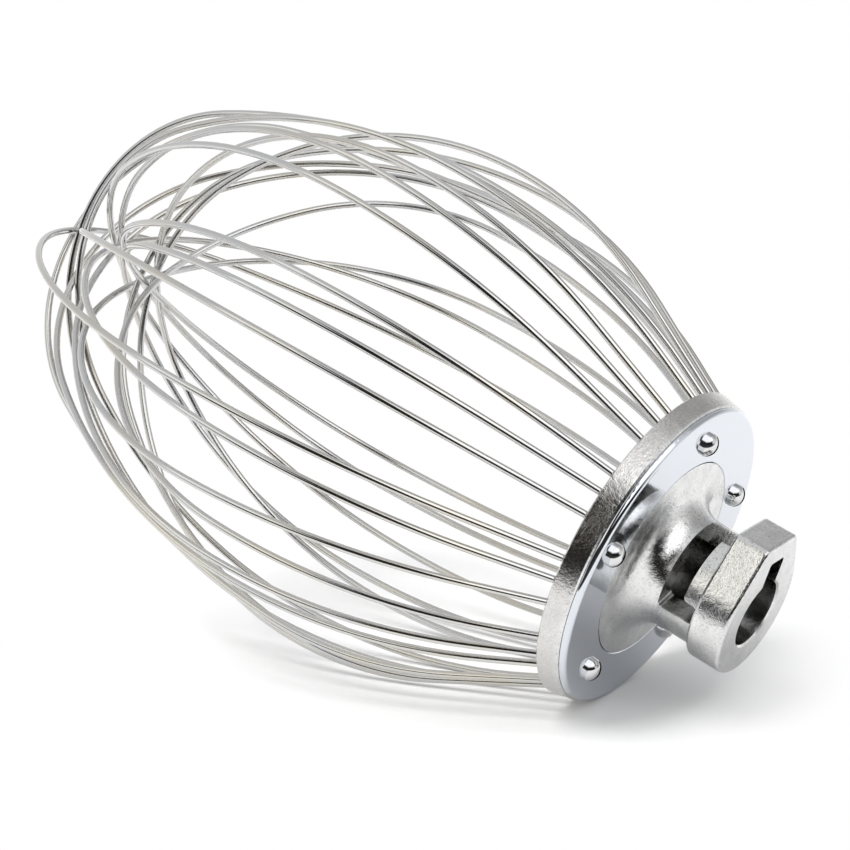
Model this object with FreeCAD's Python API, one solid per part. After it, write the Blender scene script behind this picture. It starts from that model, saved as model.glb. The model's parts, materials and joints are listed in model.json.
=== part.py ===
import FreeCAD, Part
import math
import os
from FreeCAD import Matrix, Placement, Rotation, Vector

os.makedirs("parts", exist_ok=True)

# Sizes are in millimetres and angles in degrees.
# The whip is drawn about its own Z axis, with the plate's front face at z = 0, the shaft socket
# above it and the wires below, and is laid down on the floor at the end.
# Ring angles are measured about that axis from local X.

# Wire holder: the casting's rim, with a conical side
rim_back_radius = 64.9
rim_taper = 1.6
rim_front_radius = rim_back_radius - rim_taper
rim_depth = 11.4
rim_front_chamfer = 0.6
rim_back_chamfer = 0.7
web_thickness = 6.2

# Retaining plate
plate_setback = 0.8
plate_radius = rim_front_radius - plate_setback
plate_thickness = 2.5
plate_edge_round = 2.0
plate_back_round = 0.4
plate_hole_chamfer = 0.3

# Wires, which leave the rim's back at a slant and are hooked inwards under the plate
wire_radius = 1.4
wire_clearance = 0.1
wire_exit_inset = 3.3
wire_exit_radius = rim_back_radius - wire_exit_inset
wire_exit_angle = 28.0
wire_bend_radius = 3.0
hook_reach = 7.6
hook_end_radius = wire_exit_radius - hook_reach
strand_pitch = 360.0 / 44
strand_first_angle = 0.5

# A loop's belly arc meets its tip arc at this angle, unless that makes the tip too sharp
junction_angle = 60.0
least_tip_radius = 78.0

# One line a loop: its place on the ring in strand pitches, the depth of its tip below the plate's
# face, how far its two sides bulge beyond the wire holes, its shoulder radius and the lean of its plane
loops = (
    (-8.0, 287.6, 38.3, 38.4, 237.0, -2.9),
    (-6.0, 258.3, 43.1, 39.4, 190.0, 0.0),
    (-5.2, 279.4, 43.6, 45.4, 237.0, 0.0),
    (-4.0, 285.4, 43.3, 39.4, 237.0, 0.2),
    (-2.0, 264.2, 37.4, 49.8, 237.0, -2.0),
    (-1.1, 251.8, 45.6, 47.4, 215.0, -2.9),
    (0.0, 282.3, 41.2, 41.3, 237.0, -1.1),
    (2.0, 297.6, 48.4, 37.3, 260.0, -0.9),
    (3.0, 273.0, 41.4, 43.9, 237.0, 0.3),
    (4.1, 267.0, 41.9, 48.9, 237.0, -3.4),
    (6.0, 249.5, 36.3, 48.5, 237.0, 0.1),
    (7.2, 276.5, 39.8, 45.3, 237.0, 0.1),
    (8.0, 291.4, 37.4, 43.5, 237.0, -1.6),
    (10.0, 300.7, 37.6, 29.9, 165.0, 0.1),
    (11.2, 261.5, 38.6, 38.0, 140.0, 0.3),
    (12.2, 255.4, 43.7, 41.9, 150.0, 0.3),
    (13.0, 294.4, 44.2, 34.4, 237.0, 1.8),
)

# Retaining screws, with a slot angle for each as it was tightened
screw_inset = 4.0
screw_circle_radius = hook_end_radius - screw_inset
screw_first_angle = 9.0
screw_shank_radius = 2.3
screw_grip_depth = 6.5
screw_head_radius = 4.6
screw_head_height = 4.2
screw_head_rim = 1.2
screw_slot_width = 1.6
screw_slot_depth = 2.4
screw_slot_angles = (-89.0, -85.0, -40.0, -82.0, -87.0)
screw_plate_clearance = 0.3
screw_hole_clearance = 0.05
screw_hole_spare_depth = 1.5

# Neck, and the flange that fills the plate's opening
neck_radius = 22.5
boss_inset = 9.3
boss_radius = screw_circle_radius - boss_inset
boss_gap = 0.2
flange_flat = 5.7
flare_radius = boss_radius - neck_radius - flange_flat
ring_inner_step = 2.3
ring_inner_radius = boss_radius + ring_inner_step
ring_inner_fillet = 2.2

# Socket collar with its cam lobe
socket_height = 42.4
collar_thickness = 14.6
collar_radius = 25.6
lobe_reach = 31.2
lobe_angle = -60.0
lobe_flat_angle = 60.0
lobe_corner_round = 3.5
collar_edge_round = 1.5

# Bore and bayonet slot
bore_radius = 13.6
bore_mouth_chamfer = 0.7
bore_floor = 4.0
key_width = 10.6
key_reach = 23.8
key_corner_round = 1.5
key_mouth_round = 1.0
track_height = 9.1
track_roof_thickness = 6.2
track_end_angle = 45.0
notch_start_angle = 25.0
track_corner_round = 2.0

# The loops whose far strands the whip lies on, the points taken along a loop to find the floor,
# how closely the floor's angle and the tilt are found, and how near two points count as one
rest_loops = (0, 1)
wire_samples = 600
floor_angle_step = 0.01
greatest_tilt = 45.0
tilt_halvings = 30
same_point = 1e-6

# Heights that follow from the sizes above
seat_z = -plate_thickness
hook_z = seat_z - wire_clearance - wire_radius
channel_floor_z = seat_z - 2 * (wire_clearance + wire_radius)
rim_back_z = -rim_depth
rim_heel_z = rim_back_z + rim_back_chamfer
rim_brow_z = seat_z - rim_front_chamfer
collar_back_z = socket_height - collar_thickness
track_top = collar_back_z - track_roof_thickness
track_bottom = track_top - track_height

# Where the wires bend from the slanted holes into the channel under the plate
bend_turn = math.radians(90 - wire_exit_angle)
bend_back = wire_bend_radius * math.tan(bend_turn / 2)
bend_x = wire_exit_radius - (hook_z - rim_back_z) / math.tan(bend_turn) - bend_back
bend_low_z = hook_z - wire_bend_radius + (wire_bend_radius - wire_radius) * math.cos(bend_turn)


def polar(radius, angle, z=0.0):
    """Point at a radius and ring angle."""
    turn = math.radians(angle)
    return Vector(radius * math.cos(turn), radius * math.sin(turn), z)


def line(start, end):
    return Part.LineSegment(start, end).toShape()


def arc(start, middle, end):
    return Part.Arc(start, middle, end).toShape()


def arc_about(centre, radius, start_angle, end_angle):
    """Arc in the XZ plane about a centre, with angles from X towards Z."""
    ends = [math.radians(a) for a in (start_angle, (start_angle + end_angle) / 2, end_angle)]
    return arc(*[centre + Vector(radius * math.cos(a), 0, radius * math.sin(a)) for a in ends])


def turned(edges):
    """Solid of revolution about Z from the edges of its half section."""
    return Part.Face(Part.Wire(edges)).revolve(Vector(), Vector(0, 0, 1), 360)


def chain(points):
    """Straight edges through points given as radius and height."""
    corners = [Vector(radius, 0, z) for radius, z in points]
    return [line(a, b) for a, b in zip(corners, corners[1:])]


def cylinder(radius, z_low, z_high):
    return Part.makeCylinder(radius, z_high - z_low, Vector(0, 0, z_low))


def vertical_edges(shape, radius):
    """Upright edges that stand at a distance from the axis."""
    found = []
    for edge in shape.Edges:
        ends = [vertex.Point for vertex in edge.Vertexes]
        if len(ends) == 2 and math.hypot(ends[0].x - ends[1].x, ends[0].y - ends[1].y) < same_point:
            if abs(math.hypot(ends[0].x, ends[0].y) - radius) < same_point:
                found.append(edge)
    return found


def turned_casting():
    """Neck, flare, flange and wire holder, as the turned body of the casting."""
    flare_foot = neck_radius + flare_radius
    fillet_foot = ring_inner_radius - ring_inner_fillet
    web_z = seat_z - web_thickness
    edges = chain([(0, collar_back_z), (0, web_z), (fillet_foot, web_z)])
    edges.append(arc_about(Vector(fillet_foot, 0, web_z - ring_inner_fillet), ring_inner_fillet, 90, 0))
    edges += chain([
        (ring_inner_radius, web_z - ring_inner_fillet),
        (ring_inner_radius, rim_back_z),
        (rim_back_radius - rim_back_chamfer, rim_back_z),
        (rim_back_radius, rim_heel_z),
        (rim_front_radius, rim_brow_z),
        (rim_front_radius - rim_front_chamfer, seat_z),
        (boss_radius, seat_z),
        (boss_radius, 0),
        (flare_foot, 0),
    ])
    edges.append(arc_about(Vector(flare_foot, 0, flare_radius), flare_radius, 270, 180))
    edges += chain([(neck_radius, flare_radius), (neck_radius, collar_back_z), (0, collar_back_z)])
    return turned(edges)


def collar():
    """Round collar with a cam lobe: two flats that leave the round, and a flat end."""
    cosine = math.cos(math.radians(lobe_flat_angle))
    sine = math.sin(math.radians(lobe_flat_angle))
    corner_y = (collar_radius - lobe_reach * cosine) / sine
    corners = [Vector(lobe_reach, -corner_y, 0), Vector(lobe_reach, corner_y, 0)]
    tangents = [polar(collar_radius, -lobe_flat_angle), polar(collar_radius, lobe_flat_angle)]
    outline = Part.Wire([
        line(tangents[0], corners[0]),
        line(corners[0], corners[1]),
        line(corners[1], tangents[1]),
        arc(tangents[1], Vector(-collar_radius, 0, 0), tangents[0]),
    ])
    body = Part.Face(outline).extrude(Vector(0, 0, collar_thickness))
    body = body.makeFillet(lobe_corner_round, vertical_edges(body, math.hypot(lobe_reach, corner_y)))
    ends = [edge for edge in body.Edges if edge.BoundBox.ZLength < same_point]
    body = body.makeFillet(collar_edge_round, ends)
    body.rotate(Vector(), Vector(0, 0, 1), lobe_angle)
    body.translate(Vector(0, 0, collar_back_z))
    return body


def sector(radius_in, radius_out, z_low, z_high, start_angle, end_angle):
    """Part of a ring between two ring angles."""
    corners = [polar(r, start_angle, z) for r, z in
               ((radius_in, z_low), (radius_out, z_low), (radius_out, z_high), (radius_in, z_high))]
    face = Part.Face(Part.makePolygon(corners + corners[:1]))
    return face.revolve(Vector(), Vector(0, 0, 1), end_angle - start_angle)


def bayonet_cut():
    """Bore, key slot, turning track and lock notch of the shaft socket."""
    above = socket_height + key_width
    inner = bore_radius - bore_mouth_chamfer
    outer = (neck_radius + collar_radius) / 2
    mouth = Part.makeCone(
        bore_radius, bore_radius + bore_mouth_chamfer, bore_mouth_chamfer,
        Vector(0, 0, socket_height - bore_mouth_chamfer))
    key = Part.makeBox(key_reach, key_width, above - track_bottom, Vector(0, -key_width / 2, track_bottom))
    key = key.makeFillet(key_corner_round, vertical_edges(key, math.hypot(key_reach, key_width / 2)))
    keyed = cylinder(bore_radius, bore_floor, above).fuse(key)
    keyed = keyed.makeFillet(key_mouth_round, vertical_edges(keyed, bore_radius))
    keyed.rotate(Vector(), Vector(0, 0, 1), lobe_angle)
    track = sector(inner, outer, track_bottom, track_top, lobe_angle, track_end_angle)
    notch = sector(inner, outer, track_bottom, collar_back_z, notch_start_angle, track_end_angle)
    turn = track.fuse(notch).removeSplitter()
    corners = []
    for edge in turn.Edges:
        ends = [vertex.Point for vertex in edge.Vertexes]
        level = abs(ends[0].z - ends[-1].z) < same_point
        radial = abs(ends[0].cross(ends[-1]).dot(Vector(0, 0, 1))) < same_point
        at_start = abs(ends[0].cross(polar(1, lobe_angle)).z) < same_point
        if level and radial and not at_start and len(ends) == 2:
            corners.append(edge)
    turn = turn.makeFillet(track_corner_round, corners)
    return keyed.fuse([mouth, turn])


def loop_edges(tip_depth, bulges, shoulder_radius):
    """Edges of a loop in the XZ plane, hook to hook, from straights and tangent arcs."""
    cosine = math.cos(math.radians(wire_exit_angle))
    sine = math.sin(math.radians(wire_exit_angle))
    across = math.cos(math.radians(junction_angle))
    along = math.sin(math.radians(junction_angle))
    halves = []
    for bulge in bulges:
        belly = wire_exit_radius + bulge
        hook_end = Vector(hook_end_radius, 0, hook_z)
        bend_centre = Vector(bend_x, 0, hook_z - wire_bend_radius)
        bend_start = Vector(bend_centre.x, 0, hook_z)
        bend_end = bend_centre + Vector(cosine, 0, sine) * wire_bend_radius
        shoulder_x = belly - shoulder_radius * (1 - cosine)
        shoulder = Vector(shoulder_x, 0, rim_back_z - (shoulder_x - wire_exit_radius) * cosine / sine)
        belly_point = Vector(belly, 0, shoulder.z - shoulder_radius * sine)
        drop = tip_depth + belly_point.z
        tip_radius = (belly * along - drop * (1 - across)) / (across + along - 1)
        tip_radius = max(least_tip_radius, tip_radius)
        belly_radius = (belly ** 2 + drop ** 2 - 2 * drop * tip_radius) / (2 * (belly - tip_radius))
        belly_centre = Vector(belly - belly_radius, 0, belly_point.z)
        tip_centre = Vector(0, 0, tip_radius - tip_depth)
        outwards = tip_centre - belly_centre if belly_radius > tip_radius else belly_centre - tip_centre
        junction = math.degrees(math.atan2(outwards.z, outwards.x))
        halves.append([
            line(hook_end, bend_start),
            arc_about(bend_centre, wire_bend_radius, 90, wire_exit_angle),
            line(bend_end, shoulder),
            arc_about(Vector(belly - shoulder_radius, 0, belly_point.z), shoulder_radius, wire_exit_angle, 0),
            arc_about(belly_centre, belly_radius, 0, junction),
            arc_about(tip_centre, tip_radius, junction, -90),
        ])
    for edge in halves[1]:
        edge.rotate(Vector(), Vector(0, 0, 1), 180)
    return halves[0] + halves[1][::-1]


def loop_placement(place, lean):
    """Puts a loop's plane at its place on the ring and leans it about the rim's back."""
    pivot = Vector(0, 0, rim_back_z)
    leaning = Placement(Vector(), Rotation(Vector(1, 0, 0), -lean), pivot)
    ring_angle = strand_first_angle + strand_pitch * place
    return Placement(Vector(), Rotation(Vector(0, 0, 1), ring_angle)).multiply(leaning)


def wire_path(loop):
    place, tip_depth, bulge_near, bulge_far, shoulder_radius, lean = loop
    path = Part.Wire(loop_edges(tip_depth, (bulge_near, bulge_far), shoulder_radius))
    path.Placement = loop_placement(place, lean)
    return path


def wire_loop(path):
    """Round wire along a loop's path."""
    first = path.Edges[0]
    start = first.valueAt(first.FirstParameter)
    section = Part.Wire(Part.Circle(start, first.tangentAt(first.FirstParameter), wire_radius).toShape())
    return path.makePipeShell([section], True, True)


def wire_holes(loop):
    """The two slanted holes that a loop's ends pass through."""
    place, lean = loop[0], loop[5]
    slant = math.radians(wire_exit_angle)
    along = Vector(math.sin(slant), 0, -math.cos(slant))
    reach = (seat_z - rim_back_z) / math.cos(slant)
    start = Vector(wire_exit_radius, 0, rim_back_z) - along * reach
    pair = []
    for turn in (0, 180):
        hole = Part.makeCylinder(wire_radius + wire_clearance, 2 * reach, start, along)
        hole.rotate(Vector(), Vector(0, 0, 1), turn)
        hole.Placement = loop_placement(place, lean).multiply(hole.Placement)
        pair.append(hole)
    return pair


def screw_places():
    step = 360.0 / len(screw_slot_angles)
    return [polar(screw_circle_radius, screw_first_angle + step * i) for i in range(len(screw_slot_angles))]


def hub_casting():
    """The one aluminium casting: socket collar, neck, flare, flange and wire holder."""
    channel_outer = wire_exit_radius - (channel_floor_z - rim_back_z) / math.tan(bend_turn)
    channel_outer += wire_radius + wire_clearance
    channel = cylinder(channel_outer, channel_floor_z, 0).cut(
        cylinder(hook_end_radius - wire_clearance, channel_floor_z, 0))
    groove_z = bend_low_z - wire_clearance
    groove = cylinder(channel_outer, groove_z, 0).cut(cylinder(bend_x, groove_z, 0))
    holes = [hole for loop in loops for hole in wire_holes(loop)]
    depth = screw_grip_depth + screw_hole_spare_depth
    for place in screw_places():
        bottom = place + Vector(0, 0, seat_z - depth)
        holes.append(Part.makeCylinder(screw_shank_radius + screw_hole_clearance, 2 * depth, bottom))
    body = turned_casting().fuse(collar()).removeSplitter()
    return body.cut([bayonet_cut(), channel, groove] + holes)


def retaining_plate():
    """Annular plate with a rounded edge, screwed over the bent wire ends."""
    opening = boss_radius + boss_gap
    round_z = -plate_edge_round
    edges = chain([
        (opening + plate_hole_chamfer, 0),
        (opening, -plate_hole_chamfer),
        (opening, seat_z),
        (plate_radius - plate_back_round, seat_z),
    ])
    edges.append(arc_about(
        Vector(plate_radius - plate_back_round, 0, seat_z + plate_back_round), plate_back_round, -90, 0))
    edges += chain([(plate_radius, seat_z + plate_back_round), (plate_radius, round_z)])
    edges.append(arc_about(Vector(plate_radius - plate_edge_round, 0, round_z), plate_edge_round, 0, 90))
    edges += chain([(plate_radius - plate_edge_round, 0), (opening + plate_hole_chamfer, 0)])
    plate = turned(edges)
    radius = screw_shank_radius + screw_plate_clearance
    return plate.cut([Part.makeCylinder(radius, 2 * plate_thickness, place + Vector(0, 0, -2 * plate_thickness))
                      for place in screw_places()])


def round_head_screw():
    """Slotted round-head screw about Z, with the underside of its head at z = 0."""
    dome = screw_head_height - screw_head_rim
    dome_radius = (screw_head_radius ** 2 + dome ** 2) / (2 * dome)
    side_angle = math.degrees(math.asin((dome_radius - dome) / dome_radius))
    tip_z = seat_z - screw_grip_depth
    edges = chain([
        (0, screw_head_height), (0, tip_z), (screw_shank_radius, tip_z), (screw_shank_radius, 0),
        (screw_head_radius, 0), (screw_head_radius, screw_head_rim)])
    edges.append(arc_about(Vector(0, 0, screw_head_height - dome_radius), dome_radius, side_angle, 90))
    slot = Part.makeBox(
        4 * screw_head_radius, screw_slot_width, screw_head_height,
        Vector(-2 * screw_head_radius, -screw_slot_width / 2, screw_head_height - screw_slot_depth))
    return turned(edges).cut(slot)


def retaining_screws():
    """The screws of the plate, as separate solids."""
    screws = []
    for place, slot_angle in zip(screw_places(), screw_slot_angles):
        screw = round_head_screw()
        screw.Placement = Placement(place, Rotation(Vector(0, 0, 1), slot_angle))
        screws.append(screw)
    return Part.makeCompound(screws)


def down_direction(ring_angle, tilt):
    """Direction of the floor, seen in the whip's own frame."""
    lean = math.radians(tilt)
    return polar(math.cos(lean), ring_angle, math.sin(lean))


def rim_reach(ring_angle, down):
    """How far the rim reaches towards the floor."""
    corners = ((rim_back_radius, rim_heel_z), (rim_front_radius, rim_brow_z))
    return max(polar(radius, ring_angle, z).dot(down) for radius, z in corners)


def resting_tilt(ring_angle, points):
    """Tilt of the axis at which the rim and the lowest wire touch the floor together."""
    low, high = 0.0, greatest_tilt
    for _ in range(tilt_halvings):
        tilt = (low + high) / 2
        down = down_direction(ring_angle, tilt)
        if max(point.dot(down) for point in points) + wire_radius > rim_reach(ring_angle, down):
            low = tilt
        else:
            high = tilt
    return tilt


def resting_place(points):
    """Ring angle that faces the floor, and the tilt, when the whip lies on two wires and its rim."""
    low, high = [strand_first_angle + strand_pitch * loops[i][0] + 180 for i in rest_loops]
    while high - low > floor_angle_step:
        third = (high - low) / 3
        if resting_tilt(low + third, points) < resting_tilt(high - third, points):
            high -= third
        else:
            low += third
    ring_angle = (low + high) / 2
    return ring_angle, resting_tilt(ring_angle, points)


def laid_down(ring_angle, tilt):
    """Turn that lays the whip down, socket towards +X, with its axis in the XZ plane."""
    lean = math.radians(tilt)
    socketwards = Vector(math.cos(lean), 0, -math.sin(lean))
    floorwards = Vector(-math.sin(lean), 0, -math.cos(lean))
    turn = math.radians(ring_angle)
    x_axis = floorwards * math.cos(turn) - Vector(0, math.sin(turn), 0)
    y_axis = floorwards * math.sin(turn) + Vector(0, math.cos(turn), 0)
    return Placement(Matrix(
        x_axis.x, y_axis.x, socketwards.x, 0,
        x_axis.y, y_axis.y, socketwards.y, 0,
        x_axis.z, y_axis.z, socketwards.z, 0,
        0, 0, 0, 1))


paths = [wire_path(loop) for loop in loops]
parts = {
    "hub_casting": hub_casting(),
    "retaining_plate": retaining_plate(),
    "retaining_screws": retaining_screws(),
}
for number, path in enumerate(paths, 1):
    parts["wire_loop_%02d" % number] = wire_loop(path)

wire_points = [point for path in paths for point in path.discretize(Number=wire_samples)]
floor_angle, axis_tilt = resting_place(wire_points)
laying = laid_down(floor_angle, axis_tilt)
floor_depth = rim_reach(floor_angle, down_direction(floor_angle, axis_tilt))
for shape in parts.values():
    shape.Placement = laying.multiply(shape.Placement)
bounds = Part.makeCompound(list(parts.values())).optimalBoundingBox(False, False)
to_origin = Vector(-bounds.Center.x, -bounds.Center.y, floor_depth)
for name, shape in parts.items():
    shape.translate(to_origin)
    shape.exportStep("parts/%s.step" % name)
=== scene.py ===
import json
import math
import bpy
from mathutils import Matrix, Vector

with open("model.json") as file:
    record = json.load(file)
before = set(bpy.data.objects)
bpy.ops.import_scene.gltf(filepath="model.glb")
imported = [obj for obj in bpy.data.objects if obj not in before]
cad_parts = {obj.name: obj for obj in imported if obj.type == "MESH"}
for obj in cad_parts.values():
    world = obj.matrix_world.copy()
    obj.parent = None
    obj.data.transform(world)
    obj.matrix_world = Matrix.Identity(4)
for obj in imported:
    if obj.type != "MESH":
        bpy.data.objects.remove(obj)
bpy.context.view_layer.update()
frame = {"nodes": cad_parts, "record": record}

MM = 0.001

# The whip's own frame: the socket's mount gives its axis, and the floor lies at this ring angle
FLOOR_ANGLE = math.radians(119.909)
SOCKET_MOUNT_HEIGHT = 31.0 * MM
PLATE_RADIUS = 62.5 * MM
RIM_FRONT_RADIUS = 63.3 * MM
NECK_RADIUS = 22.5 * MM
SOCKET_HEIGHT = 42.4 * MM

# The photograph's camera in the whip's own frame, with distances in plate radii
CAMERA_RIGHT = Vector((-0.3622, -0.5080, 0.7815))
CAMERA_DOWN = Vector((-0.2111, 0.8614, 0.4620))
CAMERA_FORWARD = Vector((-0.9079, 0.0024, -0.4192))
PLATE_CENTRE_SEEN = Vector((1.43372, 0.80354, 15.06291))
IMAGE_SIZE = 850
FOCAL_LENGTH_IN_PIXELS = 2500
SENSOR_WIDTH = 36.0


def whip_axes():
    """The whip's three axes in the row frame, and the middle of its plate's face."""
    mount = frame["record"]["mounts"][0]
    axis = Vector(mount["axis"]).normalized()
    sideways = Vector((0, 1, 0))
    floorwards = sideways.cross(axis)
    x_axis = floorwards * math.cos(FLOOR_ANGLE) - sideways * math.sin(FLOOR_ANGLE)
    y_axis = floorwards * math.sin(FLOOR_ANGLE) + sideways * math.cos(FLOOR_ANGLE)
    turn = Matrix((x_axis, y_axis, axis)).transposed()
    return turn, Vector(mount["pos_m"]) - axis * SOCKET_MOUNT_HEIGHT


WHIP_TURN, FACE_CENTRE = whip_axes()


def add_camera():
    right = WHIP_TURN @ CAMERA_RIGHT
    down = WHIP_TURN @ CAMERA_DOWN
    forward = WHIP_TURN @ CAMERA_FORWARD
    turn = Matrix((right, -down, -forward)).transposed().to_4x4()
    seen = PLATE_CENTRE_SEEN * PLATE_RADIUS
    place = FACE_CENTRE - right * seen.x - down * seen.y - forward * seen.z
    data = bpy.data.cameras.new("photo_camera")
    data.sensor_width = SENSOR_WIDTH
    data.lens = SENSOR_WIDTH * FOCAL_LENGTH_IN_PIXELS / IMAGE_SIZE
    camera = bpy.data.objects.new("photo_camera", data)
    camera.matrix_world = Matrix.Translation(place) @ turn
    bpy.context.scene.collection.objects.link(camera)
    bpy.context.scene.camera = camera


add_camera()


def opaque(colour):
    return (*colour, 1.0)


# Where a mix node has its two colours among its inputs, and the result among its outputs
MIX_COLOURS = (6, 7)
MIX_RESULT = 2


class Nodes:
    """A small helper that adds and joins shader nodes."""

    def __init__(self, tree):
        self.tree = tree
        tree.nodes.clear()

    def add(self, kind, sockets=None, **settings):
        node = self.tree.nodes.new(kind)
        for name, value in settings.items():
            setattr(node, name, value)
        for name, value in (sockets or {}).items():
            if isinstance(value, bpy.types.NodeSocket):
                self.tree.links.new(value, node.inputs[name])
            else:
                node.inputs[name].default_value = value
        return node

    def maths(self, operation, first, second=0.0):
        return self.add("ShaderNodeMath", {0: first, 1: second}, operation=operation).outputs[0]

    def vector_maths(self, operation, first, second):
        return self.add("ShaderNodeVectorMath", {0: first, 1: second}, operation=operation)

    def dot(self, first, second):
        return self.vector_maths("DOT_PRODUCT", first, second).outputs["Value"]

    def product(self, first, *others):
        for other in others:
            first = self.maths("MULTIPLY", first, other)
        return first

    def level(self, factor, low, high, from_low, from_high):
        """Low to high, as the factor goes between its own two values."""
        node = self.add("ShaderNodeMapRange", {
            "Value": factor, "To Min": low, "To Max": high,
            "From Min": from_low, "From Max": from_high})
        return node.outputs["Result"]

    def rise(self, value, start, end):
        return self.level(value, 0.0, 1.0, start, end)

    def fall(self, value, start, end):
        return self.level(value, 1.0, 0.0, start, end)

    def within(self, value, low, high, soft):
        """1 between two values and 0 outside them, with soft edges."""
        return self.product(
            self.rise(value, low - soft, low + soft), self.fall(value, high - soft, high + soft))

    def ramp(self, factor, stops):
        node = self.add("ShaderNodeValToRGB", {"Fac": factor})
        elements = node.color_ramp.elements
        while len(elements) < len(stops):
            elements.new(1.0)
        for element, (position, colour) in zip(elements, stops):
            element.position = position
            element.color = opaque(colour)
        return node.outputs["Color"]

    def blend(self, factor, first, second):
        node = self.add("ShaderNodeMix", {"Factor": factor}, data_type="RGBA")
        for index, colour in zip(MIX_COLOURS, (first, second)):
            if isinstance(colour, bpy.types.NodeSocket):
                self.tree.links.new(colour, node.inputs[index])
            else:
                node.inputs[index].default_value = opaque(colour)
        return node.outputs[MIX_RESULT]

    def noise(self, vector, scale, detail, roughness):
        sockets = {"Vector": vector, "Scale": scale, "Detail": detail, "Roughness": roughness}
        return self.add("ShaderNodeTexNoise", sockets).outputs["Fac"]

    def bump(self, height, strength, distance, normal=None):
        sockets = {"Height": height, "Strength": strength, "Distance": distance}
        if normal:
            sockets["Normal"] = normal
        return self.add("ShaderNodeBump", sockets).outputs["Normal"]

    def whip_place(self, place):
        """Height over the plate's face and distance from the whip's axis."""
        offset = self.vector_maths("SUBTRACT", place, FACE_CENTRE).outputs[0]
        height = self.dot(offset, WHIP_TURN.col[2])
        squares = self.maths(
            "SUBTRACT", self.dot(offset, offset), self.product(height, height))
        return height, self.maths("SQRT", squares)


def new_material(name):
    """A material, its nodes, and the place on the object that they start from."""
    material = bpy.data.materials.new(name)
    material.use_nodes = True
    nodes = Nodes(material.node_tree)
    return material, nodes, nodes.add("ShaderNodeTexCoord").outputs["Object"]


def finish_metal(nodes, colour, rough, normal):
    shader = nodes.add("ShaderNodeBsdfPrincipled", {
        "Base Color": colour, "Metallic": 1.0, "Roughness": rough, "Normal": normal})
    nodes.add("ShaderNodeOutputMaterial", {"Surface": shader.outputs["BSDF"]})


# The metals' noises: scale, detail and roughness
CAST_PATCHES = (160.0, 3.0, 0.55)
CAST_GRAIN = (2600.0, 2.0, 0.5)
CAST_DENTS = (500.0, 2.0, 0.5)
CAST_SPECKS = (1300.0, 3.0, 0.65)
PLATE_WAVES = (40.0, 1.0, 0.5)
PLATE_MARKS = (900.0, 3.0, 0.7)
SCREW_MARKS = (1200.0, 3.0, 0.7)
WIRE_TINTS = (22.0, 2.0, 0.5)
WIRE_MARKS = (1100.0, 3.0, 0.7)

# Their colours, most of them as two colours and the noise levels that they stand at
CAST_SKIN = ((0.3, (0.70, 0.70, 0.70)), (0.7, (0.86, 0.86, 0.85)))
RIM_SKIN = ((0.35, (0.46, 0.42, 0.39)), (0.65, (0.86, 0.84, 0.82)))
RIM_SKIN_SHARE = 0.5
SPECK_COLOUR = (0.30, 0.29, 0.28)
SPECK_SHARE = 0.6
SPECK_LEVELS = (0.54, 0.68)
# The socket's inside: painted shade of the deep bore together with its duller unpolished wall
SOCKET_COLOUR_AND_SHADE = (0.36, 0.36, 0.35)
PLATE_COLOUR = (0.75, 0.78, 0.83)
# The screws' colour by openness: near black where ambient occlusion finds walls close by, as
# painted shade in the slots
SCREW_COLOUR_AND_SLOT_SHADE = ((0.75, (0.04, 0.04, 0.04)), (0.95, (0.74, 0.74, 0.74)))
WIRE_SKIN = ((0.42, (0.65, 0.65, 0.65)), (0.70, (0.68, 0.65, 0.59)))

# Their shader roughness, from smooth to rough, between two noise levels
CAST_ROUGHNESS = (0.06, 0.16, 0.3, 0.7)
PLATE_ROUGHNESS = (0.03, 0.08, 0.35, 0.65)
MARKS_ROUGHNESS = (0.05, 0.11, 0.35, 0.65)

# Their bumps: strength and depth
CAST_GRAIN_BUMP = (0.7, 0.1 * MM)
CAST_DENTS_BUMP = (0.3, 0.4 * MM)
PLATE_WAVES_BUMP = (0.05, 0.5 * MM)
MARKS_BUMP = (0.1, 0.1 * MM)

# Where the rim's skin and the socket's darkening (painted shade of the deep bore and its duller
# wall) fade, by distance from the whip's axis or by height over the plate's face
RIM_SKIN_START = (RIM_FRONT_RADIUS - 1.0 * MM, RIM_FRONT_RADIUS)
RIM_SKIN_TOP = (-5.0 * MM, -3.0 * MM)
SOCKET_WALL = (NECK_RADIUS - 1.0 * MM, NECK_RADIUS - 0.5 * MM)
SOCKET_MOUTH = (SOCKET_HEIGHT - 2.0 * MM, SOCKET_HEIGHT - 1.0 * MM)
SOCKET_FLOOR = (3.0 * MM, 4.0 * MM)

# The painted shade in the screws' slots: how far round it a spot in a slot looks for walls, and
# with how many rays
SLOT_SHADE_REACH = 5.0 * MM
SLOT_SHADE_RAYS = 8


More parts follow.
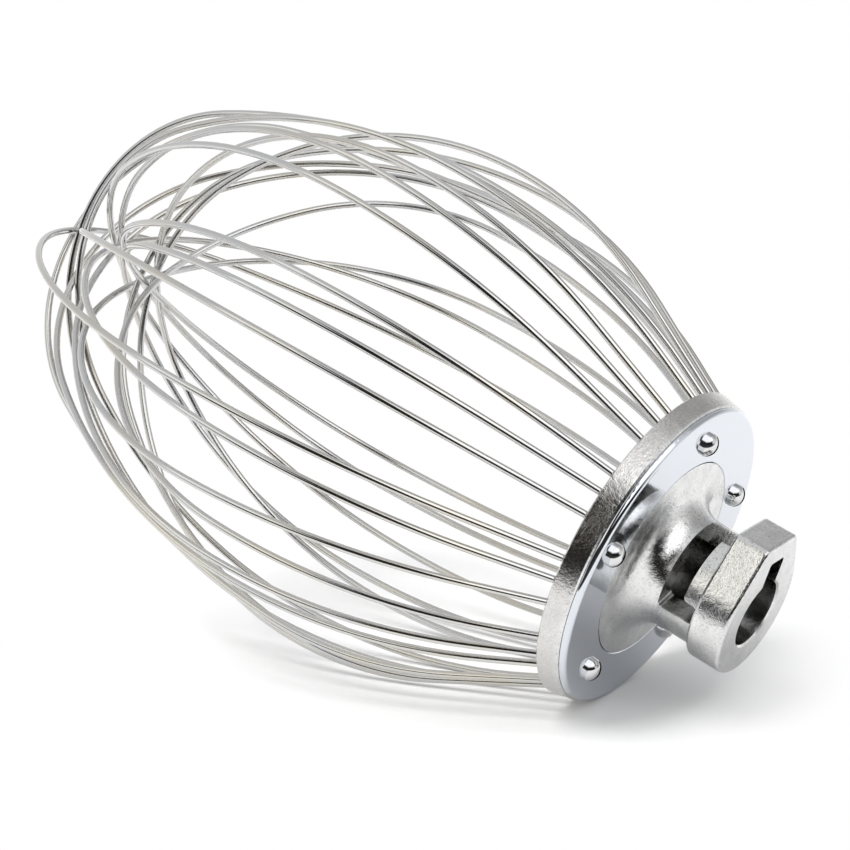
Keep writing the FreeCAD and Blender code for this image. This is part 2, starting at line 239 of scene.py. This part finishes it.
def cast_aluminium():
    """Tumbled casting: bright grained skin, browner rough rim, and a dark unpolished socket, its
    darkness partly painted shade.
    """
    material, nodes, place = new_material("cast_aluminium")
    height, radius = nodes.whip_place(place)
    patches = nodes.noise(place, *CAST_PATCHES)
    grain = nodes.noise(place, *CAST_GRAIN)
    dents = nodes.noise(place, *CAST_DENTS)
    specks = nodes.level(nodes.noise(place, *CAST_SPECKS), 0.0, SPECK_SHARE, *SPECK_LEVELS)
    on_rim = nodes.product(
        nodes.rise(radius, *RIM_SKIN_START), nodes.fall(height, *RIM_SKIN_TOP), RIM_SKIN_SHARE)
    in_shaded_socket = nodes.product(
        nodes.fall(radius, *SOCKET_WALL), nodes.fall(height, *SOCKET_MOUTH),
        nodes.rise(height, *SOCKET_FLOOR))
    colour = nodes.blend(specks, nodes.ramp(patches, CAST_SKIN), SPECK_COLOUR)
    colour = nodes.blend(on_rim, colour, nodes.ramp(grain, RIM_SKIN))
    # Painted shade: the socket's inside is darkened for the deep bore's shade as well as its
    # duller wall
    colour = nodes.blend(in_shaded_socket, colour, SOCKET_COLOUR_AND_SHADE)
    rough = nodes.level(patches, *CAST_ROUGHNESS)
    grained = nodes.bump(grain, *CAST_GRAIN_BUMP)
    finish_metal(nodes, colour, rough, nodes.bump(dents, *CAST_DENTS_BUMP, grained))
    return material


def chrome_plate():
    """Mirror plating with faint waviness and polishing marks."""
    material, nodes, place = new_material("chrome_plate")
    rough = nodes.level(nodes.noise(place, *PLATE_MARKS), *PLATE_ROUGHNESS)
    waves = nodes.bump(nodes.noise(place, *PLATE_WAVES), *PLATE_WAVES_BUMP)
    finish_metal(nodes, opaque(PLATE_COLOUR), rough, waves)
    return material


def fine_marks(nodes, place, marks_noise):
    """The roughness and the bump of fine marks."""
    marks = nodes.noise(place, *marks_noise)
    return nodes.level(marks, *MARKS_ROUGHNESS), nodes.bump(marks, *MARKS_BUMP)


def screw_chrome():
    """Bright heads, with painted shade that darkens their slots."""
    material, nodes, place = new_material("screw_chrome")
    # Painted shade: ambient occlusion darkens the slots towards black
    openness = nodes.add(
        "ShaderNodeAmbientOcclusion", {"Distance": SLOT_SHADE_REACH}, samples=SLOT_SHADE_RAYS, only_local=True)
    colour = nodes.ramp(openness.outputs["AO"], SCREW_COLOUR_AND_SLOT_SHADE)
    finish_metal(nodes, colour, *fine_marks(nodes, place, SCREW_MARKS))
    return material


def stainless_wire():
    """Bright drawn wire with a faint warm tint in places."""
    material, nodes, place = new_material("stainless_wire")
    colour = nodes.ramp(nodes.noise(place, *WIRE_TINTS), WIRE_SKIN)
    finish_metal(nodes, colour, *fine_marks(nodes, place, WIRE_MARKS))
    return material


def dress_cad_nodes():
    looks = {
        "hub_casting": cast_aluminium(),
        "retaining_plate": chrome_plate(),
        "retaining_screws": screw_chrome(),
    }
    wire = stainless_wire()
    for name, node in frame["nodes"].items():
        node.data.materials.clear()
        node.data.materials.append(looks.get(name, wire))


WHITE = (1.0, 1.0, 1.0)

# The table: its half width, how far from its middle it keeps the object's shadow, the share of
# that reach at which it starts to turn white, its grey in mirrors and to the camera, and a
# little light of its own that lifts the shadow
TABLE_HALF_WIDTH = 3.0
SHADOW_REACH = 0.178
SHADOW_FADE_START = 0.7
TABLE_IN_MIRRORS = (0.78, 0.78, 0.78)
TABLE_SEEN = (0.9, 0.9, 0.9)
SHADOW_LIFT = 0.05

# The table's front edge, beyond which the metal mirrors a dark room: its bearing in degrees, its
# distance, the width of its fade, and the room's colour
FRONT_BEARING = -55.0
FRONT_EDGE = 0.28
FRONT_FADE = 0.03
DARK_ROOM = (0.03, 0.03, 0.03)

# The room's greys by elevation, with the horizon at 0.5 and straight up at 1
ROOM_SHADES = ((0.5, (0.85, 0.85, 0.85)), (0.75, (0.68, 0.69, 0.70)), (1.0, (0.72, 0.72, 0.73)))

# Patches in the room, with angles in degrees: bearing, half width, lowest and highest elevation,
# soft edge and colour
ROOM_PATCHES = (
    (-20.0, 38.0, 24.0, 62.0, 5.0, (1.6, 1.6, 1.6)),
    (70.0, 32.0, 12.0, 62.0, 8.0, (0.42, 0.42, 0.42)),
    (-108.0, 18.0, 20.0, 60.0, 4.0, (1.2, 1.19, 1.12)),
    (-55.0, 58.0, -95.0, 18.0, 4.0, (0.01, 0.01, 0.01)),
    (-71.0, 15.0, -10.0, 55.0, 3.0, (0.03, 0.025, 0.02)),
)

# The lamp, with angles in degrees
LAMP_ENERGY = 2.2
LAMP_WIDTH = 38.0
LAMP_BEARING = -115.0
LAMP_ELEVATION = 64.0


def bearing(azimuth, elevation=0.0):
    """Unit vector at an azimuth from +X and an elevation over the horizon, in degrees."""
    turn, lift = math.radians(azimuth), math.radians(elevation)
    flat = math.cos(lift)
    return Vector((math.cos(turn) * flat, math.sin(turn) * flat, math.sin(lift)))


def floor_material():
    """White to the camera but for the shadow, and in mirrors a table with a front edge."""
    material, nodes, place = new_material("studio_floor")
    camera = nodes.add("ShaderNodeLightPath").outputs["Is Camera Ray"]
    forwards = nodes.dot(place, bearing(FRONT_BEARING))
    beyond = nodes.product(
        nodes.rise(forwards, FRONT_EDGE, FRONT_EDGE + FRONT_FADE),
        nodes.maths("SUBTRACT", 1.0, camera))
    table = nodes.blend(camera, TABLE_IN_MIRRORS, TABLE_SEEN)
    matt = nodes.add("ShaderNodeBsdfDiffuse", {"Color": nodes.blend(beyond, table, DARK_ROOM)})
    lift = nodes.add("ShaderNodeEmission", {
        "Color": opaque(WHITE), "Strength": nodes.product(camera, SHADOW_LIFT)})
    lit = nodes.add("ShaderNodeAddShader", {0: matt.outputs[0], 1: lift.outputs[0]})
    white = nodes.add("ShaderNodeEmission", {"Color": opaque(WHITE), "Strength": 1.0})
    distance = nodes.add("ShaderNodeVectorMath", {0: place}, operation="LENGTH").outputs["Value"]
    far = nodes.rise(distance, SHADOW_FADE_START * SHADOW_REACH, SHADOW_REACH)
    mixed = nodes.add("ShaderNodeMixShader", {
        "Fac": nodes.product(far, camera), 1: lit.outputs[0], 2: white.outputs[0]})
    nodes.add("ShaderNodeOutputMaterial", {"Surface": mixed.outputs[0]})
    return material


def add_floor():
    half = TABLE_HALF_WIDTH
    corners = [(-half, -half, 0), (half, -half, 0), (half, half, 0), (-half, half, 0)]
    mesh = bpy.data.meshes.new("studio_floor")
    mesh.from_pydata(corners, [], [(0, 1, 2, 3)])
    mesh.materials.append(floor_material())
    floor = bpy.data.objects.new("studio_floor", mesh)
    bpy.context.scene.collection.objects.link(floor)


def add_world():
    """A white room for the camera, and one with light and dark patches for everything else."""
    world = bpy.data.worlds.new("studio")
    world.use_nodes = True
    bpy.context.scene.world = world
    nodes = Nodes(world.node_tree)
    direction = nodes.add("ShaderNodeTexCoord").outputs["Generated"]
    elevation = nodes.maths("ARCSINE", nodes.dot(direction, (0.0, 0.0, 1.0)))
    room = nodes.ramp(nodes.rise(elevation, -math.pi / 2, math.pi / 2), ROOM_SHADES)
    for azimuth, *angles, colour in ROOM_PATCHES:
        half_width, low, high, soft = [math.radians(angle) for angle in angles]
        sideways = nodes.dot(direction, bearing(azimuth + 90))
        turn = nodes.maths("ARCTAN2", sideways, nodes.dot(direction, bearing(azimuth)))
        inside = nodes.product(
            nodes.within(turn, -half_width, half_width, soft),
            nodes.within(elevation, low, high, soft))
        room = nodes.blend(inside, room, colour)
    camera = nodes.add("ShaderNodeLightPath").outputs["Is Camera Ray"]
    shown = nodes.blend(camera, room, WHITE)
    background = nodes.add("ShaderNodeBackground", {"Color": shown, "Strength": 1.0})
    nodes.add("ShaderNodeOutputWorld", {"Surface": background.outputs[0]})


def add_lamp():
    """A broad high lamp from the picture's front left, for the shadow: no metal mirrors it."""
    data = bpy.data.lights.new("key_light", "SUN")
    data.energy = LAMP_ENERGY
    data.angle = math.radians(LAMP_WIDTH)
    lamp = bpy.data.objects.new("key_light", data)
    towards = bearing(LAMP_BEARING, LAMP_ELEVATION)
    lamp.rotation_euler = towards.to_track_quat("Z", "Y").to_euler()
    lamp.visible_glossy = False
    bpy.context.scene.collection.objects.link(lamp)


dress_cad_nodes()
add_floor()
add_world()
add_lamp()

view = bpy.context.scene.view_settings
view.view_transform = "Standard"
